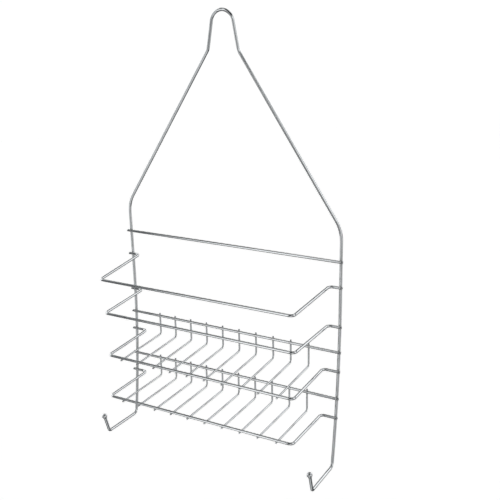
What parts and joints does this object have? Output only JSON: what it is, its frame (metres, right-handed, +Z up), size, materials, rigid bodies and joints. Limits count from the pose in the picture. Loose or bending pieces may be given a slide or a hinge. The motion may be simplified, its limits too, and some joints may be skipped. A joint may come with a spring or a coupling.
{
  "type": "hanging shower caddy",
  "caption": "Chromed wire shower caddy that hangs from a shower arm by a loop, with guard rails, shallow wire shelves and towel hooks",
  "frame": {"origin": "the seat of the hanging loop: the lowest point of the underside of its top bend, on the centre plane, where it rests on the shower arm", "axes": "+X to the user's right, -Y away from the wall towards the user, +Z up"},
  "size_m": [0.2866, 0.0917, 0.515],
  "materials": {
    "hanger_wire": "bright chrome plate on steel wire",
    "rail_wire": "bright chrome plate on steel wire",
    "shelf_wire": "bright chrome plate on thin steel wire",
    "hook_ball": "chrome plate on a steel ball end"
  },
  "bodies": {
    "root": {"hanger_frame": "hanger_wire", "top_crossbar": "rail_wire", "upper_guard_rail": "rail_wire", "lower_guard_rail": "rail_wire", "upper_shelf_rim": "rail_wire", "lower_shelf_rim": "rail_wire", "upper_back_rail": "rail_wire", "lower_back_rail": "rail_wire", "upper_shelf_wire_01": "shelf_wire", "upper_shelf_wire_02": "shelf_wire", "upper_shelf_wire_03": "shelf_wire", "upper_shelf_wire_04": "shelf_wire", "upper_shelf_wire_05": "shelf_wire", "upper_shelf_wire_06": "shelf_wire", "upper_shelf_wire_07": "shelf_wire", "upper_shelf_wire_08": "shelf_wire", "upper_shelf_wire_09": "shelf_wire", "upper_shelf_wire_10": "shelf_wire", "lower_shelf_wire_01": "shelf_wire", "lower_shelf_wire_02": "shelf_wire", "lower_shelf_wire_03": "shelf_wire", "lower_shelf_wire_04": "shelf_wire", "lower_shelf_wire_05": "shelf_wire", "lower_shelf_wire_06": "shelf_wire", "lower_shelf_wire_07": "shelf_wire", "lower_shelf_wire_08": "shelf_wire", "lower_shelf_wire_09": "shelf_wire", "lower_shelf_wire_10": "shelf_wire", "left_hook_ball": "hook_ball", "right_hook_ball": "hook_ball"}
  },
  "joints": []
}
